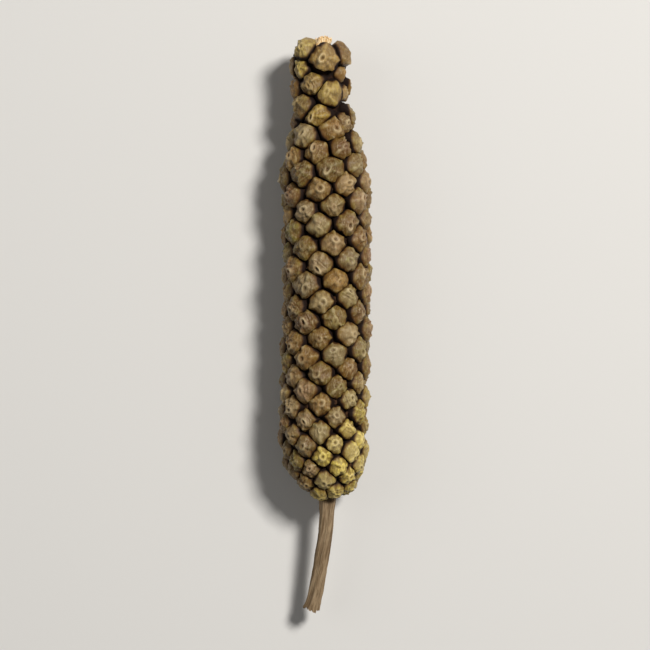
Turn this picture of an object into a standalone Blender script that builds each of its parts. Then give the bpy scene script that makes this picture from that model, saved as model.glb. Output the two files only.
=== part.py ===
# A dried long pepper: a spike of small berries packed in spiral rows on a soft axis,
# with the stalk that carried it, and the pale end of the axis showing at the slim tip.
# It lies on its side along Y with the tip at +Y, on berries pressed flat. Metres, +Z up.
import math
import random

import bmesh
import bpy
from mathutils import Matrix, Vector

# The spike over its berry tops: a body, a slimmer tip, and a dome at each end.
spike_length = 0.0322
body_radius = 0.00305
tip_radius = 0.00212
taper_start = 0.0042
taper_end = 0.0100
tip_dome_length = 0.0017
base_dome_length = 0.0044
side_bow = 0.00055
tip_lift = 0.0005
tip_lift_length = 0.0100
# Near the base the spike turns back sideways, to where the stalk leaves it.
base_shift = 0.0006
base_shift_start = 0.0270

# Berries: one for each cell of the spiral, which shows 7 rows one way and 9 the other.
berry_radius = 0.00101
berry_cell_area = 3.08e-6
# Towards the base the cells shrink to this share, and the berries with them.
base_cell_share = 0.60
crowding_start = 0.0180
berry_turn = -0.4377
first_berry_turn = 0.483
berry_sink = 0.00095
berry_size_spread = 0.06
berry_shift_spread = 0.00008
berry_height_spread = 0.00008
berry_nub_height = 0.00010
berry_sides = 8
berry_rings = 6
berry_seed = 11
placing_steps = 600
kept_face_share = 0.70
# The first and last berries are left out, where the axis end and the stalk are.
berries_off_tip = 2
berries_off_base = 2
# Berries at the tip that grew out of line: changes of turn, distance from the tip and size.
stray_berries = {
    1: (0.05, 0.00045, -0.60), 3: (0.085, -0.00045, -0.10), 5: (0.0, 0.0006, -0.15),
    6: (0.05, -0.0003, 0.05), 8: (-0.06, 0.00025, -0.35), 10: (0.0, -0.00105, 0.20),
    12: (-0.05, 0.00005, 0.04), 15: (-0.05, 0.0, -0.45), 17: (0.04, -0.00045, 0.0),
    19: (0.0, 0.0007, 0.08), 21: (-0.020, -0.00055, -0.05), 24: (-0.02, 0.0, -0.25),
    26: (-0.035, 0.0, 0.0),
}

# The axis that the berries sit on.
core_depth = 0.00074
core_end_radius = 0.0004
core_points = 25
core_profile_steps = 192
core_bevel_resolution = 8

# The stalk, a bent tapering stem with a flared broken end.
stalk_length = 0.0076
stalk_radius = 0.00052
stalk_collar = 0.35
stalk_end_flare = 0.18
stalk_flare_length = 0.0012
stalk_sunk = 0.0014
stalk_side_bend = 0.0011
stalk_side_power = 1.5
stalk_droop = 0.0010
stalk_droop_power = 1.6
stalk_points = 14
stalk_bevel_resolution = 3

# The pale broken end of the axis at the tip.
axis_end_radius = 0.00070
axis_end_length = 0.00130
axis_end_proud = 0.00010
axis_end_sides = 12
axis_end_round = 0.00018
axis_end_round_segments = 2

joint_gap = 0.00012
socket_sides = 16
smooth_angle = math.radians(35)
weld_distance = 1e-7

# The lowest berries are pressed flat by this depth, and the part rests on them.
rest_depth = 0.00014
# Moves the whole part sideways, to bring the middle of its box over the origin.
part_side_shift = -0.00019

part_length = spike_length + stalk_length
tip_y = part_length / 2
base_y = tip_y - spike_length
axis_height = body_radius - rest_depth


def clear_scene():
    for old in list(bpy.data.objects):
        bpy.data.objects.remove(old)


def smooth(share):
    share = min(max(share, 0.0), 1.0)
    return share * share * (3 - 2 * share)


def envelope_radius(from_tip):
    # Radius over the berry tops at a distance from the tip.
    taper = smooth((from_tip - taper_start) / (taper_end - taper_start))
    radius = tip_radius + (body_radius - tip_radius) * taper
    from_base = spike_length - from_tip
    for distance, dome in ((from_tip, tip_dome_length), (from_base, base_dome_length)):
        if distance < dome:
            radius *= math.sqrt(max(0.0, 1 - (1 - distance / dome) ** 2))
    return radius


def envelope_points(count):
    # The profile as (distance from the tip, radius), closer together at both ends.
    points = []
    for step in range(count + 1):
        from_tip = spike_length * (1 - math.cos(math.pi * step / count)) / 2
        points.append((from_tip, envelope_radius(from_tip)))
    return points


def core_profile():
    # The profile of the axis, which lies at one depth under the berry tops.
    fine = envelope_points(core_profile_steps)
    points = []
    for (t0, r0), (t1, r1) in zip(fine, fine[1:]):
        slant = math.hypot(t1 - t0, r1 - r0)
        from_tip = (t0 + t1) / 2 + core_depth * (r1 - r0) / slant
        radius = (r0 + r1) / 2 - core_depth * (t1 - t0) / slant
        if radius > core_end_radius:
            points.append((from_tip, radius))
    last = len(points) - 1
    return [points[round(last * step / (core_points - 1))] for step in range(core_points)]


def centre_of(from_tip):
    # The centreline: a slight sideways bow, a turn back near the base, and a lifted tip.
    along = from_tip / spike_length
    side = side_bow * (4 * along * (1 - along) - 0.5) + part_side_shift
    side += base_shift * smooth((from_tip - base_shift_start) / (spike_length - base_shift_start))
    lift = tip_lift * max(0.0, 1 - from_tip / tip_lift_length) ** 2
    return Vector((side, tip_y - from_tip, axis_height + lift))


def direction_of(turn):
    angle = 2 * math.pi * turn
    return Vector((math.cos(angle), 0, math.sin(angle)))


def cell_share(from_tip):
    # Area of a cell at a distance from the tip, against that of a cell on the body.
    crowding = smooth((from_tip - crowding_start) / (spike_length - crowding_start))
    return 1 - (1 - base_cell_share) * crowding


def berry_places():
    # One berry for each cell of the envelope, a fixed turn on from the one before:
    # (distance from the tip, radius, turn, steepness of the profile there).
    profile = envelope_points(placing_steps)
    places = []
    cells = 0.0
    for (t0, r0), (t1, r1) in zip(profile, profile[1:]):
        slant = math.hypot(t1 - t0, r1 - r0)
        cells += math.pi * (r0 + r1) * slant / (berry_cell_area * cell_share(t1))
        while cells > len(places) + 0.5:
            turn = first_berry_turn + berry_turn * len(places)
            places.append((t1, r1, turn, math.atan2(r1 - r0, t1 - t0)))
    return places[berries_off_tip:-berries_off_base]


def berry_matrices():
    # Where each berry stands: its Z axis out of the spike and its Y axis towards the base.
    draws = random.Random(berry_seed)
    matrices = []
    for index, (from_tip, radius, turn, steepness) in enumerate(berry_places()):
        along, around, high, big = (draws.uniform(-1, 1) for _ in range(4))
        turned, moved, grown = stray_berries.get(index, (0.0, 0.0, 0.0))
        spin = direction_of(turn + turned)
        outward = spin * math.cos(steepness) + Vector((0, math.sin(steepness), 0))
        down = Vector((0, -math.cos(steepness), 0)) + spin * math.sin(steepness)
        sideways = down.cross(outward)
        width = math.sqrt(cell_share(from_tip))
        centre = centre_of(from_tip + moved) + spin * radius
        centre -= outward * (berry_sink * width - berry_height_spread * high)
        centre += (down * along + sideways * around) * berry_shift_spread
        axes = Matrix((sideways, down, outward)).transposed().to_4x4()
        size = Matrix.Scale(width * (1 + berry_size_spread * big + grown), 4)
        matrices.append(Matrix.Translation(centre) @ axes @ size)
    return matrices


def coat(target, colour, roughness):
    # Gives the object a plain material of its own, named as the object is.
    made = bpy.data.materials.new(target.name)
    made.use_nodes = True
    shader = made.node_tree.nodes["Principled BSDF"]
    shader.inputs["Base Color"].default_value = (*colour, 1)
    shader.inputs["Roughness"].default_value = roughness
    shader.inputs["Metallic"].default_value = 0.0
    target.data.materials.clear()
    target.data.materials.append(made)


def new_object(name, data, collection):
    made = bpy.data.objects.new(name, data)
    collection.objects.link(made)
    return made


def make_tube(name, collection, places, radii, bevel_resolution):
    # A round tube through the places, with a radius at each, closed at both ends.
    curve = bpy.data.curves.new(name, "CURVE")
    curve.dimensions = "3D"
    curve.bevel_depth = max(radii)
    curve.bevel_resolution = bevel_resolution
    curve.use_fill_caps = True
    spline = curve.splines.new("POLY")
    spline.points.add(len(places) - 1)
    for knot, place, radius in zip(spline.points, places, radii):
        knot.co = (*place, 1)
        knot.radius = radius / curve.bevel_depth
    return new_object(name, curve, collection)


def tube_to_mesh(tube, collection):
    # The same tube as one closed mesh, so that Booleans can work on it.
    name = tube.name
    evaluated = tube.evaluated_get(bpy.context.evaluated_depsgraph_get())
    mesh = bpy.data.meshes.new_from_object(evaluated)
    shape = bmesh.new()
    shape.from_mesh(mesh)
    bmesh.ops.remove_doubles(shape, verts=shape.verts, dist=weld_distance)
    bmesh.ops.recalc_face_normals(shape, faces=shape.faces)
    shape.to_mesh(mesh)
    shape.free()
    matrix = tube.matrix_world.copy()
    bpy.data.objects.remove(tube)
    mesh.name = name
    made = new_object(name, mesh, collection)
    made.matrix_world = matrix
    return made


def make_core(collection):
    # The axis under the berries, round in section and thinner towards both ends.
    profile = core_profile()
    tube = make_tube("spike", collection, [centre_of(from_tip) for from_tip, _ in profile],
                     [radius for _, radius in profile], core_bevel_resolution)
    return tube_to_mesh(tube, collection)


def make_berries(collection):
    # Few-sided berries with a small nub on top, sunk well into the axis.
    shape = bmesh.new()
    bmesh.ops.create_uvsphere(shape, u_segments=berry_sides, v_segments=berry_rings,
                              radius=berry_radius)
    max(shape.verts, key=lambda corner: corner.co.z).co.z += berry_nub_height
    mesh = bpy.data.meshes.new("berry")
    shape.to_mesh(mesh)
    shape.free()
    for matrix in berry_matrices():
        new_object("berry", mesh, collection).matrix_world = matrix


def apply_modifier(target, modifier):
    bpy.context.view_layer.objects.active = target
    bpy.ops.object.modifier_apply(modifier=modifier.name)


def join_berries(spike, berries):
    # One union takes in every berry.
    union = spike.modifiers.new("join_berries", "BOOLEAN")
    union.operation = "UNION"
    union.operand_type = "COLLECTION"
    union.collection = berries
    apply_modifier(spike, union)
    for berry in list(berries.objects):
        bpy.data.objects.remove(berry)
    bpy.data.collections.remove(berries)


def thin_out(target, share):
    # Clears the slivers that the union leaves along the creases.
    modifier = target.modifiers.new("thin_out", "DECIMATE")
    modifier.ratio = share
    apply_modifier(target, modifier)


def cut(target, cutter):
    cutter.hide_render = True
    cutter.display_type = "WIRE"
    modifier = target.modifiers.new(cutter.name, "BOOLEAN")
    modifier.operation = "DIFFERENCE"
    modifier.object = cutter
    apply_modifier(target, modifier)


def move_to(collection, made, name):
    made.name = name
    made.data.name = name
    for home in list(made.users_collection):
        home.objects.unlink(made)
    collection.objects.link(made)
    return made


def rod_along_y(name, collection, sides, radius, y_from, y_to):
    # A cylinder along Y, in line with the end of the spike that it is at.
    nearest = centre_of(0 if y_to > 0 else spike_length)
    bpy.ops.mesh.primitive_cylinder_add(
        vertices=sides, radius=radius, depth=y_to - y_from,
        location=(nearest.x, (y_from + y_to) / 2, nearest.z),
        rotation=(math.radians(90), 0, 0))
    return move_to(collection, bpy.context.object, name)


def make_sockets(collection):
    # Plain holes that the axis end and the stalk stand in, a little wider than they are.
    tip_floor = tip_y + axis_end_proud - axis_end_length - joint_gap
    base_floor = base_y + stalk_sunk + joint_gap
    collar = stalk_radius * (1 + stalk_collar)
    return [
        rod_along_y("tip_socket", collection, socket_sides, axis_end_radius + joint_gap,
                    tip_floor, tip_y + body_radius),
        rod_along_y("stalk_socket", collection, socket_sides, collar + joint_gap,
                    base_y - body_radius, base_floor),
    ]


def make_floor_cutter(collection):
    # A block below the floor that presses the lowest berries flat.
    size = part_length * 2
    bpy.ops.mesh.primitive_cube_add(size=size, location=(0, 0, -size / 2))
    return move_to(collection, bpy.context.object, "floor_cutter")


def shade_round(target):
    target.data.shade_smooth()
    target.data.set_sharp_from_angle(angle=smooth_angle)


def make_spike(parts, cutters):
    berries = bpy.data.collections.new("berries")
    bpy.context.scene.collection.children.link(berries)
    make_berries(berries)
    spike = make_core(parts)
    join_berries(spike, berries)
    thin_out(spike, kept_face_share)
    for cutter in (make_floor_cutter(cutters), *make_sockets(cutters)):
        cut(spike, cutter)
    shade_round(spike)
    return spike


def stalk_line():
    # From inside the base of the spike to the broken end, bending sideways and down.
    start = centre_of(spike_length)
    reach = stalk_length + stalk_sunk
    places = []
    for step in range(stalk_points):
        run = reach * step / (stalk_points - 1)
        share = max(0.0, run - stalk_sunk) / stalk_length
        side = -stalk_side_bend * share ** stalk_side_power
        drop = -stalk_droop * share ** stalk_droop_power
        places.append(start + Vector((side, stalk_sunk - run, drop)))
    return places


def make_stalk(collection):
    # Thicker at the collar in the spike, and flared again at the broken end.
    places = stalk_line()
    radii = []
    for place in places:
        to_end = (place - places[-1]).length
        to_start = (place - places[0]).length
        end_flare = 1 - smooth(to_end / stalk_flare_length)
        collar = 1 - smooth(to_start / (stalk_sunk + stalk_flare_length))
        radii.append(stalk_radius * (1 + stalk_end_flare * end_flare + stalk_collar * collar))
    tube = make_tube("stalk", collection, places, radii, stalk_bevel_resolution)
    stalk = tube_to_mesh(tube, collection)
    shade_round(stalk)
    return stalk


def make_axis_end(collection):
    # A short blunt stub of the axis, its edge worn round.
    top = tip_y + axis_end_proud
    stub = rod_along_y("axis_end", collection, axis_end_sides, axis_end_radius,
                       top - axis_end_length, top)
    worn = stub.modifiers.new("worn_edge", "BEVEL")
    worn.width = axis_end_round
    worn.segments = axis_end_round_segments
    shade_round(stub)
    return stub


def main():
    clear_scene()
    parts = bpy.data.collections.new("long_pepper")
    cutters = bpy.data.collections.new("cutters")
    for group in (parts, cutters):
        bpy.context.scene.collection.children.link(group)
    coat(make_spike(parts, cutters), (0.200, 0.145, 0.075), 0.55)
    coat(make_stalk(parts), (0.300, 0.210, 0.120), 0.80)
    coat(make_axis_end(parts), (0.720, 0.530, 0.310), 0.85)


main()
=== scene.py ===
# A dried long pepper lying on a pale floor, its slim tip up the picture, seen from above.
import math
import random

import bmesh
import bpy
import numpy as np
from mathutils import Matrix, Vector


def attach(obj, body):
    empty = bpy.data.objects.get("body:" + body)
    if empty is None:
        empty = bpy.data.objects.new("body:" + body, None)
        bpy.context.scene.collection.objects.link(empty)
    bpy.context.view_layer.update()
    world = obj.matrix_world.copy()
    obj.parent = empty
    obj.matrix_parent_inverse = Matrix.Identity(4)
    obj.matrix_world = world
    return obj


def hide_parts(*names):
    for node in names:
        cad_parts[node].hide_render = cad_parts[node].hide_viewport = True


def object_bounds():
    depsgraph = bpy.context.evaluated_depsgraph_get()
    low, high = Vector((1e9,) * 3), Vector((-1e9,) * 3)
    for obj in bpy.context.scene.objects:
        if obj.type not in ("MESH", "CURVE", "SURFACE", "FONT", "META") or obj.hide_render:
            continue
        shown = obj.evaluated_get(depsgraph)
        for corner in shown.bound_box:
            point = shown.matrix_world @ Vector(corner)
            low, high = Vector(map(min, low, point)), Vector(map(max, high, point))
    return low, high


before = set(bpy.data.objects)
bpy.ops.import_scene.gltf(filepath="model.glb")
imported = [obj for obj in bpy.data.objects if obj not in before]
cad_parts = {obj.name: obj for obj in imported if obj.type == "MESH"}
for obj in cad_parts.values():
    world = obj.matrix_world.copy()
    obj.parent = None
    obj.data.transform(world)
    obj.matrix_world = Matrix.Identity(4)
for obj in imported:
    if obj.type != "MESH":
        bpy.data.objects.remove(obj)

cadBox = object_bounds()
mm = 0.001  # pieces are modelled in millimetres and brought to metres when finished
hair = 0.01  # millimetres that torn ends stay inside the solid's box, and the floor under it
facing = 0.9  # a normal at least this far along an axis points that way

# The spike's form and the rule that places its berries, as the solid part has them.
spikeForm = {
    "length": 32.2, "tipY": 19.9, "axisHeight": 2.91,
    "bodyRadius": 3.05, "tipRadius": 2.12,
    "taperStart": 4.2, "taperEnd": 10.0,
    "tipDome": 1.7, "baseDome": 4.4,
    "bow": 0.55, "sideShift": -0.19,
    "tipLift": 0.5, "tipLiftLength": 10.0,
    "baseShift": 0.6, "baseShiftStart": 27.0,
    "cellArea": 3.08, "baseCellShare": 0.60, "crowdingStart": 18.0,
    "turn": -0.4377, "firstTurn": 0.483,
    "rows": (7, 9), "profileSteps": 600, "leftOffTip": 2, "leftOffBase": 2,
    "sink": 0.95, "sizeSpread": 0.06, "shiftSpread": 0.08,
    "heightSpread": 0.08, "seed": 11,
    # a few tip berries grew out of line: (turn, distance from the tip, size) changes
    "strays": {1: (0.05, 0.45, -0.60), 3: (0.085, -0.45, -0.10), 5: (0.0, 0.60, -0.15),
               6: (0.05, -0.30, 0.05), 8: (-0.06, 0.25, -0.35), 10: (0.0, -1.05, 0.20),
               12: (-0.05, 0.05, 0.04), 15: (-0.05, 0.0, -0.45), 17: (0.04, -0.45, 0.0),
               19: (0.0, 0.70, 0.08), 21: (-0.020, -0.55, -0.05), 24: (-0.02, 0.0, -0.25),
               26: (-0.035, 0.0, 0.0)},
}


def smooth(share):
    share = min(max(share, 0.0), 1.0)
    return share * share * (3 - 2 * share)


def spikeRadius(fromTip):  # over the berry tops
    form = spikeForm
    taper = smooth((fromTip - form["taperStart"]) / (form["taperEnd"] - form["taperStart"]))
    radius = form["tipRadius"] + (form["bodyRadius"] - form["tipRadius"]) * taper
    fromBase = form["length"] - fromTip
    for distance, dome in ((fromTip, form["tipDome"]), (fromBase, form["baseDome"])):
        if distance < dome:
            radius *= math.sqrt(max(0.0, 1 - (1 - distance / dome) ** 2))
    return radius


def spikeProfile(count):  # (distance from the tip, radius), closer together at the ends
    distances = [spikeForm["length"] * (1 - math.cos(math.pi * step / count)) / 2
                 for step in range(count + 1)]
    return [(distance, spikeRadius(distance)) for distance in distances]


def spikeCentre(fromTip):
    form = spikeForm
    along = fromTip / form["length"]
    side = form["bow"] * (4 * along * (1 - along) - 0.5) + form["sideShift"]
    backLength = form["length"] - form["baseShiftStart"]
    side += form["baseShift"] * smooth((fromTip - form["baseShiftStart"]) / backLength)
    lift = form["tipLift"] * max(0.0, 1 - fromTip / form["tipLiftLength"]) ** 2
    return Vector((side, form["tipY"] - fromTip, form["axisHeight"] + lift))


def spinOf(turn):
    angle = 2 * math.pi * turn
    return Vector((math.cos(angle), 0, math.sin(angle)))


def cellShare(fromTip):  # area of a berry's cell against that of one on the body
    crowdedLength = spikeForm["length"] - spikeForm["crowdingStart"]
    crowding = smooth((fromTip - spikeForm["crowdingStart"]) / crowdedLength)
    return 1 - (1 - spikeForm["baseCellShare"]) * crowding


def berryFrames():  # each berry's matrix: Z out of the spike, Y towards the base
    form = spikeForm
    places, cells = [], 0.0
    profile = spikeProfile(form["profileSteps"])
    for (t0, r0), (t1, r1) in zip(profile, profile[1:]):
        band = math.pi * (r0 + r1) * math.hypot(t1 - t0, r1 - r0)
        cells += band / (form["cellArea"] * cellShare(t1))
        while cells > len(places) + 0.5:
            turn = form["firstTurn"] + form["turn"] * len(places)
            places.append((t1, r1, turn, math.atan2(r1 - r0, t1 - t0)))
    draws = random.Random(form["seed"])
    frames = []
    kept = places[form["leftOffTip"]:-form["leftOffBase"]]
    for index, (fromTip, radius, turn, steepness) in enumerate(kept):
        along, around, high, big = (draws.uniform(-1, 1) for _ in range(4))
        turned, moved, grown = form["strays"].get(index, (0.0, 0.0, 0.0))
        spin = spinOf(turn + turned)
        outward = spin * math.cos(steepness) + Vector((0, math.sin(steepness), 0))
        down = Vector((0, -math.cos(steepness), 0)) + spin * math.sin(steepness)
        sideways = down.cross(outward)
        width = math.sqrt(cellShare(fromTip))
        centre = spikeCentre(fromTip + moved) + spin * radius
        centre -= outward * (form["sink"] * width - form["heightSpread"] * high)
        centre += (down * along + sideways * around) * form["shiftSpread"]
        axes = Matrix((sideways, down, outward)).transposed().to_4x4()
        size = Matrix.Scale(width * (1 + form["sizeSpread"] * big + grown), 4)
        frames.append(Matrix.Translation(centre) @ axes @ size)
    return frames


# Modelling helpers

def only(piece):
    bpy.ops.object.select_all(action="DESELECT")
    piece.select_set(True)
    bpy.context.view_layer.objects.active = piece


def added(addPrimitive, name, **settings):
    bpy.ops.object.select_all(action="DESELECT")
    addPrimitive(**settings)
    piece = bpy.context.object
    piece.name = piece.data.name = name
    bpy.ops.object.transform_apply()
    return piece


def placed(name, data):  # an object for a mesh, a curve, a light or a camera
    made = bpy.data.objects.new(name, data)
    bpy.context.scene.collection.objects.link(made)
    return made


def openMesh(piece):
    only(piece)
    bpy.ops.object.mode_set(mode="EDIT")
    bpy.ops.mesh.select_all(action="DESELECT")


def closeMesh():
    bpy.ops.object.mode_set(mode="OBJECT")


def pickFaces(piece, test):
    bpy.ops.mesh.select_mode(type="FACE")
    bpy.ops.mesh.select_all(action="DESELECT")
    shape = bmesh.from_edit_mesh(piece.data)
    for face in shape.faces:
        face.select_set(test(face.calc_center_median(), face.normal))
    bmesh.update_edit_mesh(piece.data)


def modify(piece, kind, **settings):
    only(piece)
    modifier = piece.modifiers.new(kind.lower(), kind)
    for name, value in settings.items():
        setattr(modifier, name, value)
    bpy.ops.object.modifier_apply(modifier=modifier.name)


def roughen(piece, size, depth):  # a cloud pattern pushes the surface in and out
    texture = bpy.data.textures.new("clouds", "CLOUDS")
    texture.noise_scale = size
    modify(piece, "DISPLACE", texture=texture, texture_coords="LOCAL", strength=depth,
           mid_level=0.5)


def readPoints(mesh):
    flat = np.empty(len(mesh.vertices) * 3, np.float32)
    mesh.vertices.foreach_get("co", flat)
    return flat.reshape(-1, 3).astype(float)


def writePoints(mesh, points):
    mesh.vertices.foreach_set("co", np.asarray(points, np.float32).ravel())
    mesh.update()


def writeMark(mesh, name, values):  # a number on each point, for the material to read
    mark = mesh.attributes.get(name) or mesh.attributes.new(name, "FLOAT", "POINT")
    mark.data.foreach_set("value", np.asarray(values, np.float32).ravel())


def joinAll(pieces, name):
    only(pieces[0])
    for piece in pieces:
        piece.select_set(True)
    bpy.ops.object.join()
    joined = bpy.context.object
    joined.name = joined.data.name = name
    return joined


def rampUp(values, low, high):
    share = np.clip((values - low) / (high - low), 0, 1)
    return share * share * (3 - 2 * share)


def finishPiece(piece, skin, replaced=None, sharpAngle=180):
    piece.data.transform(Matrix.Scale(mm, 4))
    only(piece)
    bpy.ops.object.shade_smooth_by_angle(angle=math.radians(sharpAngle))
    piece.data.materials.clear()
    piece.data.materials.append(skin)
    if replaced:
        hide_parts(replaced)
    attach(piece, "root")
    print(piece.name, "has", len(piece.data.polygons), "faces")


# Materials

class Wire:  # a shader socket; sums on it add Math nodes
    def __init__(self, tree, socket=None):
        self.tree, self.socket = tree, socket

    def node(self, kind, settings=None, values=None, output=0):
        made = self.tree.nodes.new(kind)
        for name, value in (settings or {}).items():
            setattr(made, name, value)
        for name, value in (values or {}).items():
            if isinstance(value, Wire):
                self.tree.links.new(value.socket, made.inputs[name])
            else:
                made.inputs[name].default_value = value
        return Wire(self.tree, made.outputs[output])

    def math(self, operation, first, second=0.0):
        return self.node("ShaderNodeMath", {"operation": operation}, {0: first, 1: second})

    def __add__(self, other):
        return self.math("ADD", self, other)

    def __sub__(self, other):
        return self.math("SUBTRACT", self, other)

    def __rsub__(self, other):
        return self.math("SUBTRACT", other, self)

    def __mul__(self, other):
        return self.math("MULTIPLY", self, other)

    __radd__ = __add__
    __rmul__ = __mul__

    def between(self, start, end):  # 0 before the start, 1 past the end, which may be lower
        if start > end:
            return 1 - self.between(end, start)
        return self.node("ShaderNodeMapRange", {"interpolation_type": "SMOOTHSTEP"},
                         {"Value": self, "From Min": start, "From Max": end})

    def mix(self, first, second, share):  # sockets 6 and 7 take the colours, 2 gives the mix
        return self.node("ShaderNodeMix", {"data_type": "RGBA"},
                         {0: share, 6: first, 7: second}, 2)

    def mark(self, name):  # the number that the mesh carries on each point
        return self.node("ShaderNodeAttribute", {"attribute_name": name}, output="Fac")

    def noiseAt(self, place, often, detail, rough):
        return self.node("ShaderNodeTexNoise", {}, {
            "Vector": place, "Scale": often, "Detail": detail, "Roughness": rough})

    def noise(self, size, detail, rough, lengthways=1.0):  # size in millimetres
        place = self.node("ShaderNodeMapping", {}, {
            "Vector": self.node("ShaderNodeTexCoord", output="Object"),
            "Scale": (1, lengthways, 1)})
        return self.noiseAt(place, 1 / (size * mm), detail, rough)

    def bump(self, depth, below=None):  # depth in millimetres
        values = {"Height": self, "Distance": depth * mm, "Strength": 1.0}
        if below:
            values["Normal"] = below
        return self.node("ShaderNodeBump", {}, values)


def startSkin(name, look):  # a material, and its patterns by name
    skin = bpy.data.materials.new(name)
    skin.use_nodes = True
    wire = Wire(skin.node_tree)
    patterns = {noise: wire.noise(*values) for noise, values in look["noises"].items()}
    patterns.update({mark: wire.mark(mark) for mark in look["marks"]})
    return skin, wire, patterns


def finishSkin(skin, wire, look, patterns):
    colour = look["colours"][look["base"]]
    for name, drawnBy, span, strength, onlyOn in look["layers"]:
        share = patterns[drawnBy].between(*span) if span else patterns[drawnBy]
        share = share * strength
        if onlyOn:
            share = share * patterns[onlyOn]
        colour = wire.mix(colour, look["colours"][name], share)
    roughness = look["roughness"]
    for name, amount in look["rougherBy"].items():
        roughness = patterns[name] * amount + roughness
    relief = None
    for name, depth in look["bumps"].items():
        relief = patterns[name].bump(depth, relief)
    shader = skin.node_tree.nodes["Principled BSDF"]
    shader.inputs["Specular IOR Level"].default_value = look["specular"]
    for socket, value in (("Base Color", colour), ("Roughness", roughness), ("Normal", relief)):
        skin.node_tree.links.new(value.socket, shader.inputs[socket])
    return skin


def plantTissue(name, pale, deep, fibreSize, lengthways):  # pale fibres in a deeper ground
    look = {
        "colours": {"pale": pale, "deep": deep}, "base": "deep", "marks": (),
        "noises": {"fibres": (fibreSize, 4.0, 0.6, lengthways), "grain": (0.09, 3.0, 0.55)},
        "layers": (("pale", "fibres", (0.38, 0.62), 1.0, None),
                   ("deep", "grain", (0.55, 0.80), 0.5, None)),
        "roughness": 0.7, "rougherBy": {"grain": 0.2}, "specular": 0.15,
        "bumps": {"fibres": 0.030, "grain": 0.015},
    }
    skin, wire, patterns = startSkin(name, look)
    return finishSkin(skin, wire, look, patterns)


print("spiral rule and material tools ready")

# Berries: a few modelled ones are copied to every place and pressed against each other

fullTurn = 6.28  # the most that a berry or its eye is turned at random
foldTurn = 6.0  # and the most that its folds and rings are

berryShape = {
    "seed": 200, "variants": 10, "segments": 28, "rings": 20,
    "cutBelow": -0.02, "footWidth": 0.45, "footDepth": 0.50, "crownFrom": 0.90,
    "crownRings": (0.075, 0.070, 0.065, 0.060, 0.055, 0.050, 0.045),
    "width": 1.09, "length": 1.18, "height": 0.995, "widthSpread": 0.08, "tilt": 0.16,
    # the eye, a pit in a lip, on what is higher up the berry than eyeFrom
    "eyeFrom": 0.7, "eyeShift": 0.18, "eyeStretch": 0.9, "eyeStrength": (0.15, 1.0),
    "pitRadius": 0.105, "pitDepth": 0.15,
    "lipRadius": 0.24, "lipWidth": 0.090, "lipHeight": 0.130, "lipLowSide": 0.10,
    # folds run out from the eye, as many as one of each pair says, and rings go round it;
    # what grows or fades does so between two distances from the eye
    "reliefHeights": (0.0, 0.4), "foldCounts": ((3, 4), (5, 6), (8, 9)),
    "foldDepth": 0.078, "foldSum": 1.5, "foldsGrow": (0.25, 0.60),
    "ringSpacing": 0.40, "ringDepth": 0.030, "ringWander": 0.6, "ringsGrow": (0.28, 0.40),
    "skinRingsGrow": (0.25, 0.42), "skinRingsFade": (0.85, 1.15),
    # how neighbours press each other, in millimetres, and where on the way to one the crowding
    # shows, which deepens the painted crease shade
    "gap": 0.036, "gapSpread": (0.4, 1.6), "gapInRow": -0.010, "softness": 0.098,
    "reachOfNeighbours": 2.75, "crowdedShares": (0.22, 0.42),
    # how high on a berry the painted crease shade runs, where its underside is painted fully dark
    # as shade, and where its open top is
    "creaseBottom": 0.34, "creaseTop": 0.76, "openCrease": 0.15, "deepHeights": (-0.40, 0.25),
    "topHeights": (0.62, 0.95), "openSide": 0.7,
    # rods that the berries stay off, round the axis end and the stalk: (radius, from y, to y)
    "axisEndRod": (0.74, 18.6, math.inf), "stalkRod": (0.66, -math.inf, -10.8),
    # lumps and wrinkles over all berries: (size, depth)
    "lumps": (0.60, 0.11), "wrinkles": (0.26, 0.035), "topClearance": 0.005,
}


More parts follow.
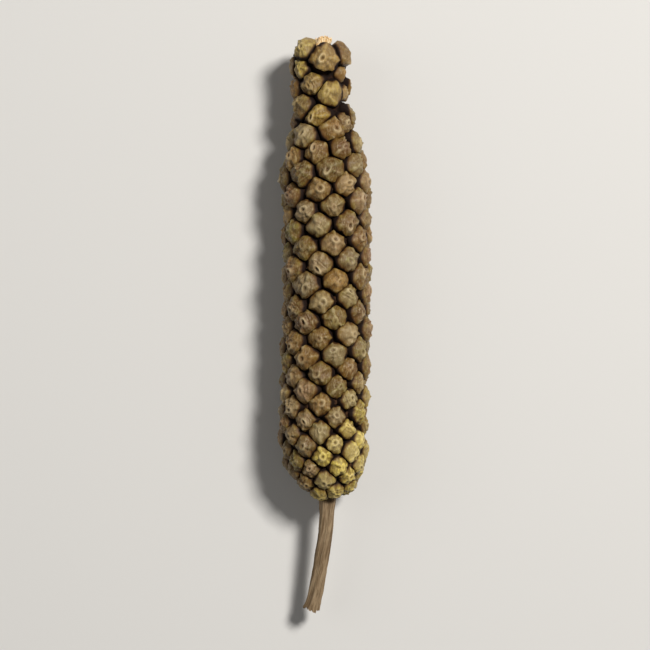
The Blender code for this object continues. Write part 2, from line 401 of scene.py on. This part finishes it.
def modelBerry(variant):
    shape = berryShape
    draws = random.Random(shape["seed"] + variant)
    berry = added(bpy.ops.mesh.primitive_uv_sphere_add, "berryModel",
                  segments=shape["segments"], ring_count=shape["rings"], radius=1.0)
    openMesh(berry)
    bpy.ops.mesh.select_all(action="SELECT")
    bpy.ops.mesh.bisect(plane_co=(0, 0, shape["cutBelow"]), plane_no=(0, 0, 1),
                        use_fill=True, clear_inner=True)
    pickFaces(berry, lambda middle, normal: normal.z < -facing)
    bpy.ops.mesh.inset(thickness=shape["footWidth"], depth=shape["footDepth"])
    bpy.ops.mesh.poke()
    pickFaces(berry, lambda middle, normal: middle.z > shape["crownFrom"])
    bpy.ops.mesh.dissolve_faces()
    for width in shape["crownRings"]:
        bpy.ops.mesh.inset(thickness=width, depth=0.0)
    bpy.ops.mesh.poke()
    closeMesh()
    points = readPoints(berry.data)
    out = np.hypot(points[:, 0], points[:, 1])
    upper = rampUp(points[:, 2], *shape["reliefHeights"])
    onTop = points[:, 2] > shape["eyeFrom"]
    points[onTop, 2] = np.sqrt(1 - out[onTop] ** 2)  # the crown's flat rings take the dome's form
    # the eye's lip stands higher on one side
    shift = [draws.uniform(-1, 1) * shape["eyeShift"] for side in range(2)]
    lengthways, highSide = draws.uniform(0, fullTurn), draws.uniform(0, fullTurn)
    across, along = points[:, 0] - shift[0], points[:, 1] - shift[1]
    stretch = shape["eyeStretch"] * draws.uniform(0, 1)
    angle = np.arctan2(along, across)
    fromEye = np.hypot(across, along) * (1 + stretch * np.sin(angle - lengthways) ** 2)
    strength = draws.uniform(*shape["eyeStrength"])
    lowSide = shape["lipLowSide"]
    higher = lowSide + (1 - lowSide) * (0.5 + 0.5 * np.cos(angle - highSide))
    lip = np.exp(-((fromEye - shape["lipRadius"]) / shape["lipWidth"]) ** 2) * higher * onTop
    pit = np.exp(-(fromEye / shape["pitRadius"]) ** 2) * onTop
    folds = np.zeros(len(points))
    counts = [draws.choice(pair) for pair in shape["foldCounts"]]
    for count in counts:
        turn = count * angle / 2 + draws.uniform(0, foldTurn) + draws.uniform(-1, 1) * out
        folds += 1 - 2 * np.abs(np.sin(turn))  # sharp ridges with wide hollows between
    rings = np.cos(2 * math.pi * (fromEye - shape["lipRadius"]) / shape["ringSpacing"]
                   + shape["ringWander"] * np.sin(2 * angle + draws.uniform(0, foldTurn)))
    relief = shape["foldDepth"] * folds / shape["foldSum"]
    relief *= rampUp(fromEye, *shape["foldsGrow"]) * upper
    relief += shape["ringDepth"] * rings * rampUp(fromEye, *shape["ringsGrow"]) * upper
    relief += strength * (shape["lipHeight"] * lip - shape["pitDepth"] * pit)
    points *= (1 + relief)[:, None]
    points[:, 2] *= shape["height"]
    writePoints(berry.data, points)
    ringed = rampUp(fromEye, *shape["skinRingsGrow"]) * draws.uniform(0.0, 1.0)
    ridge = 0.5 + (relief - strength * shape["lipHeight"] * lip) / shape["foldDepth"] / 2
    for name, values in (
            ("lip", lip * strength), ("pit", pit * strength), ("fromEye", fromEye),
            ("ringed", ringed * (1 - rampUp(fromEye, *shape["skinRingsFade"]))),
            ("ridge", np.clip(ridge, 0, 1))):
        writeMark(berry.data, name, values)
    return berry


def pressApart(points, centre, others, softness):  # up to the planes that part it from others
    crowded = np.zeros(len(points))
    for other, share, gap in others:
        across = other - centre
        distance = np.linalg.norm(across)
        across = across / distance
        start = distance * share - gap - softness
        reach = (points - centre) @ across
        low, high = (distance * share for share in berryShape["crowdedShares"])
        crowded = np.maximum(crowded, rampUp(reach, low, high))
        over = np.maximum(reach - start, 0)
        pressed = softness * (1 - np.exp(-over / softness))
        points = points + across * (pressed - over)[:, None]
    return points, crowded


def keepOffRod(points, middle, radius, low, high, least=0.01):  # a rod along Y
    offset = points[:, (0, 2)] - np.array((middle.x, middle.z))
    out = np.maximum(np.linalg.norm(offset, axis=1), least)
    inRod = (points[:, 1] > low) & (points[:, 1] < high) & (out < radius)
    stretch = np.where(inRod, radius / out - 1, 0.0)
    points[:, 0] += offset[:, 0] * stretch
    points[:, 2] += offset[:, 1] * stretch
    return points


def pressOnFloor(heights, soft=0.06):  # what would sink under the floor is pressed flat on it
    return np.where(heights < soft, soft * np.exp(np.minimum(heights - soft, 0) / soft), heights)


berryTints = {
    "seed": 23, "orangeLength": 8.0, "yellowSpread": (0.40, 1.0), "orangeSpread": (0.1, 0.7),
    # yellow patches: (middle, full as far as this, faded out at this distance, strength)
    "yellowPatches": (((1.8, -8.9, 4.6), 1.5, 3.0, 1.15), ((1.0, -10.8, 4.0), 0.9, 2.4, 0.75),
                      ((2.4, -5.6, 4.4), 0.7, 2.1, 0.75)),
    # berries at the tip with a colour of their own: (yellow, orange)
    "tipBerries": {1: (0.0, 0.05), 3: (0.55, 0.20), 5: (0.45, 0.0), 6: (0.0, 0.05),
                   10: (0.15, 0.50), 12: (0.15, 0.05), 17: (0.30, 0.20), 19: (0.20, 0.25)},
    # random tints: (the higher the rarer, most, more of it at the tip)
    "tints": {"olive": (1, 1, 0), "rosy": (1.5, 1, 0), "gold": (4, 0.9, 0.35),
              "dark": (2, 1, 0.20), "pale": (2, 1, 0)},
}


def tintBerry(mesh, index, centre, draws):
    tints = berryTints
    count = len(mesh.vertices)
    yellow = 0.0
    for middle, full, faded, strength in tints["yellowPatches"]:
        apart = (Vector(centre) - Vector(middle)).length
        yellow = max(yellow, strength * (1 - smooth((apart - full) / (faded - full))))
    nearTip = max(0.0, 1 - (spikeForm["tipY"] - centre[1]) / tints["orangeLength"])
    yellow *= draws.uniform(*tints["yellowSpread"])
    orange = nearTip * draws.uniform(*tints["orangeSpread"])
    yellow, orange = tints["tipBerries"].get(index, (yellow, orange))
    writeMark(mesh, "yellow", np.full(count, yellow))
    writeMark(mesh, "orange", np.full(count, orange))
    for name, (rarity, most, atTip) in tints["tints"].items():
        value = draws.uniform(0.0, 1.0) ** rarity * most + nearTip * atTip
        writeMark(mesh, name, np.full(count, value))


def makeBerries(frames):
    shape = berryShape
    models = [modelBerry(variant) for variant in range(shape["variants"])]
    centres = np.array([place.translation for place in frames])
    sizes = [place.to_scale().x for place in frames]
    draws = random.Random(berryTints["seed"])
    tipMiddle, baseMiddle = spikeCentre(0), spikeCentre(spikeForm["length"])
    berries = []
    for index, place in enumerate(frames):
        mesh = models[draws.randrange(len(models))].data.copy()
        turn = Matrix.Rotation(draws.uniform(0, fullTurn), 3, "Z")
        for side in "XY":
            turn = Matrix.Rotation(draws.uniform(-1, 1) * shape["tilt"], 3, side) @ turn
        wider = 1 + draws.uniform(-1, 1) * shape["widthSpread"]
        spread = Matrix.Diagonal((shape["width"] * wider, shape["length"] * wider, 1))
        local = readPoints(mesh) @ np.array(place.to_3x3() @ spread @ turn).T
        points = local + centres[index]
        apart = np.linalg.norm(centres - centres[index], axis=1)
        gap = shape["gap"] * sizes[index] ** 2 * draws.uniform(*shape["gapSpread"])
        near = [(centres[other], sizes[index] / (sizes[index] + sizes[other]),
                 shape["gapInRow"] if abs(other - index) == spikeForm["rows"][0] else gap)
                for other in np.flatnonzero(apart < shape["reachOfNeighbours"]) if other != index]
        points, crowded = pressApart(points, centres[index], near,
                                     shape["softness"] * sizes[index])
        points = keepOffRod(points, tipMiddle, *shape["axisEndRod"])
        points = keepOffRod(points, baseMiddle, *shape["stalkRod"])
        outward = place.to_3x3().col[2]
        height = (points - centres[index]) @ np.array(outward) / outward.length_squared
        # painted shade: the crease mark darkens a berry low down, more where neighbours crowd it,
        # and fully on its underside
        low = 1 - rampUp(height, shape["creaseBottom"], shape["creaseTop"])
        deep = 1 - rampUp(height, *shape["deepHeights"])
        pinched = shape["openCrease"] + (1 - shape["openCrease"]) * crowded
        writeMark(mesh, "creaseShade", np.maximum(low * pinched, deep))
        writeMark(mesh, "top", np.maximum(rampUp(height, *shape["topHeights"]),
                                          shape["openSide"] * (1 - crowded)))
        tintBerry(mesh, index, centres[index], draws)
        writePoints(mesh, points)
        berries.append(placed("berry", mesh))
    for model in models:
        bpy.data.objects.remove(model)
    joined = joinAll(berries, "spikeBerries")
    roughen(joined, *shape["lumps"])
    roughen(joined, *shape["wrinkles"])
    points = readPoints(joined.data)
    highest = cadBox[1][2] / mm - shape["topClearance"]
    points[:, 2] = np.minimum(pressOnFloor(points[:, 2]), highest)
    writePoints(joined.data, points)
    return joined


berryLook = {
    "colours": {
        "oliveTan": (0.200, 0.174, 0.034, 1), "greyBrown": (0.142, 0.090, 0.043, 1),
        "rosyTan": (0.320, 0.172, 0.100, 1), "golden": (0.330, 0.170, 0.036, 1),
        "umber": (0.058, 0.027, 0.009, 1), "yellowOlive": (0.900, 0.720, 0.150, 1),
        # the second colour on the next line, near black, is painted shade for the seams between
        # berries
        "orangeBrown": (0.520, 0.270, 0.045, 1), "creaseShade": (0.009, 0.0028, 0.001, 1),
        # the red-brown colour first on the next line is painted shade, laid in the seams, the
        # fold hollows and the ring grooves
        "fold": (0.104, 0.041, 0.010, 1), "goldenRim": (0.210, 0.135, 0.014, 1),
        # the lip colour on the next line is the eye rim's own pale tone, brightened further as
        # painted highlight
        "lip": (0.560, 0.450, 0.260, 1), "dust": (0.390, 0.315, 0.170, 1),
    },
    "base": "greyBrown", "specular": 0.20,
    # noises: (size, detail, roughness, scale lengthways)
    "noises": {"mottle": (0.36, 5.0, 0.62), "speckle": (0.075, 3.0, 0.7),
               "patches": (2.6, 2.0, 0.55), "blush": (0.80, 3.0, 0.6),
               "streaks": (0.13, 4.0, 0.6, 0.30)},
    "marks": ("olive", "rosy", "gold", "dark", "pale", "yellow", "orange", "top", "ridge",
              "lip", "pit", "creaseShade", "fromEye", "ringed"),
    "ringTurns": 21.0, "ringWander": 11.0,
    # layers from the bottom up: (colour, drawn by, from and to, strength, only on)
    "layers": (
        ("oliveTan", "olive", None, 1.0, None),
        ("oliveTan", "blush", (0.52, 0.68), 0.75, None),
        ("rosyTan", "blush", (0.48, 0.36), 0.50, "top"),
        ("rosyTan", "rosy", None, 1.0, "top"),
        ("golden", "gold", None, 1.0, None),
        ("umber", "dark", None, 0.55, None),
        ("umber", "patches", (0.50, 0.66), 0.25, None),
        ("yellowOlive", "yellow", None, 1.0, None),
        ("orangeBrown", "orange", None, 1.0, None),
        ("goldenRim", "rim", None, 0.60, None),
        # painted shade in the hollows between the folds
        ("fold", "ridge", (0.55, 0.15), 0.55, None),
        ("umber", "mottle", (0.52, 0.66), 0.40, None),
        ("umber", "streaks", (0.50, 0.34), 0.40, None),
        ("dust", "streaks", (0.52, 0.68), 0.45, None),
        # painted shade in the ring grooves
        ("fold", "rings", (-0.1, -0.9), 0.24, "ringed"),
        # painted highlight on the ring crests, in the pale dust colour
        ("dust", "rings", (0.2, 0.95), 0.20, "ringed"),
        # painted highlight on the fold crests at the top, in the pale dust colour
        ("dust", "ridge", (0.60, 0.95), 0.55, "top"),
        ("dust", "speckle", (0.56, 0.70), 0.38, None),
        ("dust", "pale", None, 0.55, "top"),
        # the eye's pale lip: partly its own pale colour, partly painted highlight
        ("lip", "lip", None, 0.80, None),
        ("umber", "pit", None, 0.90, None),
        # painted shade in the seams between berries: red-brown at the edge, then near black
        ("fold", "creaseShade", (0.0, 0.42), 0.75, None),
        ("creaseShade", "creaseShade", (0.20, 0.80), 1.0, None),
    ),
    "roughness": 0.07, "rougherBy": {"speckle": 0.40, "lip": -0.08, "creaseShade": 0.60},
    "bumps": {"streaks": 0.050, "mottle": 0.040, "speckle": 0.016, "eyeRings": 0.010},
}


def berrySkin():
    look = berryLook
    skin, wire, patterns = startSkin("driedBerrySkin", look)
    rings = wire.math("SINE", patterns["fromEye"] * look["ringTurns"]
                      + patterns["mottle"] * look["ringWander"])
    patterns.update({"rings": rings, "eyeRings": rings * patterns["ringed"],
                     "rim": 1 - patterns["top"]})
    return finishSkin(skin, wire, look, patterns)


frames = berryFrames()
berries = makeBerries(frames)
finishPiece(berries, berrySkin(), "spike")

# Bracts: a small dry shield in the gap between four berries, where one still sits

bractShape = {
    "radius": 0.23, "thickness": 0.05, "sides": 9, "insets": ((0.07, 0.025), (0.09, -0.035)),
    "heights": (0.30, 0.52), "tilt": 0.45, "sizes": (0.7, 1.1), "missing": 0.75, "first": 28,
    "aboveFloor": 0.05, "roughSize": 0.2, "roughDepth": 0.06, "seed": 31,
    "tissue": {"pale": (0.070, 0.032, 0.014, 1), "deep": (0.020, 0.008, 0.004, 1),
               "fibreSize": 0.10, "lengthways": 1.0},
}


def makeBracts(frames):
    shape = bractShape
    model = added(bpy.ops.mesh.primitive_cylinder_add, "bractModel", vertices=shape["sides"],
                  radius=shape["radius"], depth=shape["thickness"])
    openMesh(model)
    pickFaces(model, lambda middle, normal: normal.z > facing)
    for width, depth in shape["insets"]:
        bpy.ops.mesh.inset(thickness=width, depth=depth)
    bpy.ops.mesh.poke()
    closeMesh()
    draws = random.Random(shape["seed"])
    oneWay, otherWay = spikeForm["rows"]
    bracts = []
    for index in range(shape["first"], len(frames) - oneWay - otherWay):
        if draws.random() < shape["missing"]:
            continue
        around = [frames[index + step] for step in (0, oneWay, otherWay, oneWay + otherWay)]
        centre = sum((place.translation for place in around), Vector()) / len(around)
        outward = sum((place.to_3x3().col[2].normalized() for place in around), Vector())
        outward.normalize()
        height = draws.uniform(*shape["heights"])
        turn = outward.to_track_quat("Z", "Y").to_matrix()
        for side in "XY":
            turn = turn @ Matrix.Rotation(draws.uniform(-1, 1) * shape["tilt"], 3, side)
        wide, long = draws.uniform(*shape["sizes"]), draws.uniform(*shape["sizes"])
        size = Matrix.Diagonal((wide, long, 1.0))
        mesh = model.data.copy()
        mesh.transform(Matrix.Translation(centre + outward * height) @ (turn @ size).to_4x4())
        if min(corner.co.z for corner in mesh.vertices) > shape["aboveFloor"]:
            bracts.append(placed("bract", mesh))
    bpy.data.objects.remove(model)
    joined = joinAll(bracts, "berryBracts")
    roughen(joined, shape["roughSize"], shape["roughDepth"])
    return joined


finishPiece(makeBracts(frames), plantTissue("dryBract", **bractShape["tissue"]))

# The soft axis between the berries, near black as painted shade, the same as the seams

axisShape = {
    "depth": 0.86, "least": 0.6, "points": 60, "profileSteps": 400, "sides": 36,
    "roughSize": 0.5, "roughDepth": 0.14,
    # painted shade: these near-black colours match the painted shade of the seams
    "tissue": {"pale": (0.026, 0.009, 0.003, 1), "deep": (0.008, 0.003, 0.001, 1),
               "fibreSize": 0.3, "lengthways": 1.0},
}


def makeTube(name, places, radii, outline=None, sides=8, twist=0.0):
    curve = bpy.data.curves.new(name, "CURVE")
    curve.dimensions = "3D"
    curve.use_fill_caps = True
    if outline:
        curve.bevel_mode = "OBJECT"
        curve.bevel_object = outline
    else:
        curve.bevel_depth = 1.0
        curve.bevel_resolution = sides // 2 - 2  # a round tube has 4 sides and 2 for each step
    spline = curve.splines.new("POLY")
    spline.points.add(len(places) - 1)
    for step, (knot, place, radius) in enumerate(zip(spline.points, places, radii)):
        knot.co = (*place, 1)
        knot.radius = radius
        knot.tilt = twist * step / len(places)
    tube = placed(name, curve)
    only(tube)
    bpy.ops.object.convert(target="MESH")
    openMesh(tube)
    bpy.ops.mesh.select_all(action="SELECT")
    bpy.ops.mesh.remove_doubles(threshold=0.001)
    bpy.ops.mesh.normals_make_consistent(inside=False)
    closeMesh()
    return tube


def makeAxis():
    shape = axisShape
    fine = spikeProfile(shape["profileSteps"])
    line = []
    for (t0, r0), (t1, r1) in zip(fine, fine[1:]):
        slant = math.hypot(t1 - t0, r1 - r0)
        radius = (r0 + r1) / 2 - shape["depth"] * (t1 - t0) / slant
        if radius > shape["least"]:
            line.append(((t0 + t1) / 2 + shape["depth"] * (r1 - r0) / slant, radius))
    last = len(line) - 1
    line = [line[round(last * step / (shape["points"] - 1))] for step in range(shape["points"])]
    axis = makeTube("spikeAxis", [spikeCentre(fromTip) for fromTip, radius in line],
                    [radius for fromTip, radius in line], sides=shape["sides"])
    roughen(axis, shape["roughSize"], shape["roughDepth"])
    return axis


finishPiece(makeAxis(), plantTissue("axisPaintedShade", **axisShape["tissue"]))

# The stalk: a ribbed stem, drawn along its line from a ribbed outline, with a torn end

stalkShape = {
    "length": 7.6, "radius": 0.49, "collar": 0.35, "endFlare": 0.18,
    "flareLength": 1.2, "sunk": 1.4, "sideBend": 1.1, "sidePower": 1.5,
    "droop": 1.0, "droopPower": 1.6, "points": 90, "sides": 48, "twist": 0.9,
    # ribs along it and waves in its torn end: (count round it, height, start)
    "ribs": ((5, 0.050, 0.3), (8, 0.045, 1.9), (13, 0.025, 4.0)),
    "tearWaves": ((3, 0.3, 1), (8, 0.2, 2), (17, 0.2, 0)), "tearBase": 0.8,
    "pithWave": 0.3, "pithWaveSize": 0.05, "tearLength": 0.6, "tearDepth": 0.26,
    "endFacing": 0.8, "endDepth": 0.2, "endRings": (0.80, 0.75, 0.65, 0.50),
    "roughSize": 0.9, "roughDepth": 0.09, "sharpAngle": 50,
}


def ribbedOutline():
    shape = stalkShape
    curve = bpy.data.curves.new("ribbedOutline", "CURVE")
    spline = curve.splines.new("POLY")
    spline.points.add(shape["sides"] - 1)
    for step, knot in enumerate(spline.points):
        angle = 2 * math.pi * step / shape["sides"]
        rib = sum(depth * math.cos(count * angle + start)
                  for count, depth, start in shape["ribs"])
        knot.co = ((1 + rib) * math.cos(angle), (1 + rib) * math.sin(angle), 0, 1)
    spline.use_cyclic_u = True
    return placed("ribbedOutline", curve)


def stalkLine():  # the places along it, from its root between the berries to its torn end
    shape = stalkShape
    start = spikeCentre(spikeForm["length"])
    places = []
    for step in range(shape["points"]):
        run = (shape["length"] + shape["sunk"]) * step / (shape["points"] - 1)
        share = max(0.0, run - shape["sunk"]) / shape["length"]
        side = -shape["sideBend"] * share ** shape["sidePower"]
        drop = -shape["droop"] * share ** shape["droopPower"]
        places.append(start + Vector((side, shape["sunk"] - run, drop)))
    return places


def stalkRadius(place, root, end):
    shape = stalkShape
    endFlare = 1 - smooth((place - end).length / shape["flareLength"])
    collar = 1 - smooth((place - root).length / (shape["sunk"] + shape["flareLength"]))
    return shape["radius"] * (1 + shape["endFlare"] * endFlare + shape["collar"] * collar)


def markFibres(stalk, places):  # the fibres follow the stem's bend and its twist
    shape = stalkShape
    points = readPoints(stalk.data)
    middles = np.array([tuple(place) for place in reversed(places)])
    across, high = (points[:, side] - np.interp(points[:, 1], middles[:, 1], middles[:, side])
                    for side in (0, 2))
    run = places[0].y - shape["sunk"] - points[:, 1]
    turn = np.arctan2(high, across) - shape["twist"] * run / (shape["length"] + shape["sunk"])
    writeMark(stalk.data, "fibreAcross", np.cos(turn))
    writeMark(stalk.data, "fibreHigh", np.sin(turn))
    writeMark(stalk.data, "fibreAlong", points[:, 1])


def makeStalk():
    shape = stalkShape
    places = stalkLine()
    end = places[-1]
    outline = ribbedOutline()
    stalk = makeTube("stalkStem", places,
                     [stalkRadius(place, places[0], end) for place in places],
                     outline=outline, twist=shape["twist"])
    bpy.data.objects.remove(outline)
    openMesh(stalk)
    pickFaces(stalk, lambda middle, normal: normal.y < -shape["endFacing"]
              and middle.y < end.y + shape["endDepth"])
    for share in shape["endRings"]:
        bpy.ops.mesh.extrude_region()
        bpy.ops.transform.resize(value=(share, share, share))
    bpy.ops.mesh.poke()
    closeMesh()
    roughen(stalk, shape["roughSize"], shape["roughDepth"])
    markFibres(stalk, places)
    points = readPoints(stalk.data)
    offset = points - np.array(end)
    angle = np.arctan2(offset[:, 2], offset[:, 0])
    out = np.hypot(offset[:, 0], offset[:, 2])
    tear = shape["tearBase"] + shape["pithWave"] * np.sin(out / shape["pithWaveSize"])
    for count, height, start in shape["tearWaves"]:
        tear = tear + height * np.sin(count * angle + start)
    nearEnd = 1 - rampUp(offset[:, 1], 0, shape["tearLength"])
    points[:, 1] += shape["tearDepth"] * nearEnd * tear
    points[:, 1] = np.maximum(points[:, 1], cadBox[0][1] / mm + hair)
    writePoints(stalk.data, points)
    return stalk


stalkLook = {
    "colours": {"pale": (0.300, 0.215, 0.128, 1), "deep": (0.130, 0.082, 0.042, 1),
                "dust": (0.420, 0.330, 0.215, 1)},
    "base": "deep", "specular": 0.15,
    "noises": {"patches": (1.6, 3.0, 0.55), "grain": (0.09, 3.0, 0.55)},
    "marks": ("fibreAcross", "fibreHigh", "fibreAlong"),
    # noises drawn out along the stem: (how often, detail, roughness)
    "fibreNoises": {"fibres": (3.2, 4.0, 0.6), "fine": (9.0, 4.0, 0.6)}, "drawnOut": 0.14,
    "layers": (
        ("pale", "fibres", (0.36, 0.60), 1.0, None),
        ("dust", "fine", (0.54, 0.72), 0.55, None),
        ("deep", "fine", (0.46, 0.32), 0.70, None),
        ("deep", "patches", (0.50, 0.70), 0.45, None),
        ("deep", "grain", (0.60, 0.80), 0.40, None),
    ),
    "roughness": 0.7, "rougherBy": {"grain": 0.2},
    "bumps": {"fibres": 0.050, "fine": 0.030, "grain": 0.012},
}


def stalkSkin():
    look = stalkLook
    skin, wire, patterns = startSkin("driedStalk", look)
    place = wire.node("ShaderNodeCombineXYZ", {}, {
        "X": patterns["fibreAcross"], "Y": patterns["fibreHigh"],
        "Z": patterns["fibreAlong"] * look["drawnOut"]})
    for name, values in look["fibreNoises"].items():
        patterns[name] = wire.noiseAt(place, *values)
    return finishSkin(skin, wire, look, patterns)


finishPiece(makeStalk(), stalkSkin(), "stalk", sharpAngle=stalkShape["sharpAngle"])

# The pale torn end of the axis at the tip

tipEndShape = {
    "radius": 0.66, "from": 18.72, "to": 19.80, "sides": 30, "rings": 6, "ringWidth": 0.09,
    "cuts": (18.95, 19.15, 19.35, 19.55, 19.68), "seed": 5, "sharpAngle": 60,
    "fibres": 44, "fibreSides": 5, "fibreWidth": 0.040, "fibrePoint": 0.35,
    "fibreLengths": (0.12, 0.26), "fibreLean": 0.25, "fibreRoot": 0.09,
    "fibreSpread": (0.10, 0.95),  # shares of the end's area
    "narrowing": 0.12, "lean": 0.34, "firmLength": 0.3,
    # ribs round it: (count, height, start)
    "ribs": ((7, 0.05, 0), (12, 0.035, 2)),
    # ragged waves on its face: (count, height, start, how much they spiral)
    "ragged": 0.13, "waves": ((2, 0.30, 1, 0), (5, 0.25, 0, 4), (9, 0.2, 0, -7)),
    "dome": 0.9, "domeTurn": 3.0,
    "tissue": {"pale": (0.930, 0.740, 0.460, 1), "deep": (0.560, 0.330, 0.130, 1),
               "fibreSize": 0.12, "lengthways": 0.3},
}


def makeFibre(draws, centre, upright):
    shape = tipEndShape
    angle = draws.uniform(0, 2 * math.pi)
    out = shape["radius"] * math.sqrt(draws.uniform(*shape["fibreSpread"]))
    length = draws.uniform(*shape["fibreLengths"])
    lean = draws.uniform(-shape["fibreLean"], shape["fibreLean"])
    along = shape["to"] - shape["fibreRoot"] + length / 2
    return added(
        bpy.ops.mesh.primitive_cone_add, "fibre", vertices=shape["fibreSides"], depth=length,
        radius1=shape["fibreWidth"], radius2=shape["fibreWidth"] * shape["fibrePoint"],
        location=(centre.x + out * math.cos(angle), along, centre.z + out * math.sin(angle)),
        rotation=(upright + lean, 0, lean))


def makeTipEnd():
    shape = tipEndShape
    centre = spikeCentre(0)
    depth = shape["to"] - shape["from"]
    upright = math.radians(-90)  # stands a primitive's top towards +Y
    stub = added(bpy.ops.mesh.primitive_cylinder_add, "axisEndTorn", vertices=shape["sides"],
                 radius=shape["radius"], depth=depth, rotation=(upright, 0, 0),
                 location=(centre.x, shape["from"] + depth / 2, centre.z))
    openMesh(stub)
    pickFaces(stub, lambda middle, normal: normal.y > facing)
    for ring in range(shape["rings"]):
        bpy.ops.mesh.inset(thickness=shape["ringWidth"], depth=0.0)
    bpy.ops.mesh.poke()
    for along in shape["cuts"]:
        bpy.ops.mesh.select_all(action="SELECT")
        bpy.ops.mesh.bisect(plane_co=(0, along, 0), plane_no=(0, 1, 0))
    closeMesh()
    draws = random.Random(shape["seed"])
    fibres = [makeFibre(draws, centre, upright) for fibre in range(shape["fibres"])]
    end = joinAll([stub] + fibres, "axisEndTorn")
    points = readPoints(end.data)
    offset = points - np.array(centre)
    angle = np.arctan2(offset[:, 2], offset[:, 0])
    out = np.hypot(offset[:, 0], offset[:, 2]) / shape["radius"]
    up = rampUp(points[:, 1], shape["from"] + shape["firmLength"], shape["to"])
    ribs = sum(height * np.sin(count * angle + start) for count, height, start in shape["ribs"])
    narrow = 1 - shape["narrowing"] * up + ribs * np.minimum(out, 1)
    points[:, (0, 2)] = np.array((centre.x, centre.z)) + offset[:, (0, 2)] * narrow[:, None]
    points[:, 0] += shape["lean"] * up
    rough = shape["dome"] * np.cos(out * shape["domeTurn"])
    for count, height, start, spiral in shape["waves"]:
        rough = rough + height * np.sin(count * angle + start + spiral * out)
    points[:, 1] += up * shape["ragged"] * rough
    points[:, 1] = np.minimum(points[:, 1], cadBox[1][1] / mm - hair)
    writePoints(end.data, points)
    return end


finishPiece(makeTipEnd(), plantTissue("palePith", **tipEndShape["tissue"]),
            "axis_end", sharpAngle=tipEndShape["sharpAngle"])

# Floor, light and camera

studio = {
    "floorSize": 2.0, "floorColour": (0.66, 0.655, 0.645, 1), "floorRoughness": 0.9,
    "worldColour": (1.0, 0.99, 0.97, 1), "worldStrength": 0.12,
    "cameraHeight": 0.25, "shownHeight": 0.0450, "sensorWidth": 36.0, "nearest": 0.005,
    # lights: (name, place, size, watts, colour)
    "lights": (
        ("keyLight", (0.15, 0.13, 0.28), 0.07, 1.35, (1.0, 0.97, 0.92)),
        ("fillLight", (-0.22, 0.05, 0.20), 0.20, 0.11, (1.0, 0.98, 0.94)),
    ),
}


def makeStudio():
    floor = added(bpy.ops.mesh.primitive_plane_add, "paleFloor", size=studio["floorSize"],
                  location=(0, 0, -hair * mm))
    paint = bpy.data.materials.new("paleFloor")
    paint.use_nodes = True
    shader = paint.node_tree.nodes["Principled BSDF"]
    shader.inputs["Base Color"].default_value = studio["floorColour"]
    shader.inputs["Roughness"].default_value = studio["floorRoughness"]
    floor.data.materials.append(paint)
    world = bpy.data.worlds.new("studio")
    world.use_nodes = True
    sky = world.node_tree.nodes["Background"]
    sky.inputs["Color"].default_value = studio["worldColour"]
    sky.inputs["Strength"].default_value = studio["worldStrength"]
    bpy.context.scene.world = world
    for name, place, size, watts, colour in studio["lights"]:
        light = bpy.data.lights.new(name, "AREA")
        light.size, light.energy, light.color = size, watts, colour
        lamp = placed(name, light)
        lamp.location = place
        lamp.rotation_euler = (-Vector(place)).to_track_quat("-Z", "Y").to_euler()
    camera = bpy.data.cameras.new("camera")
    camera.clip_start = studio["nearest"]
    camera.sensor_width = studio["sensorWidth"]
    camera.lens = camera.sensor_width * studio["cameraHeight"] / studio["shownHeight"]
    eye = placed("camera", camera)
    middle = (cadBox[0] + cadBox[1]) / 2
    eye.location = (middle.x, middle.y, studio["cameraHeight"] + middle.z)
    bpy.context.scene.camera = eye
    bpy.context.scene.view_settings.view_transform = "Standard"


makeStudio()
print("studio ready")
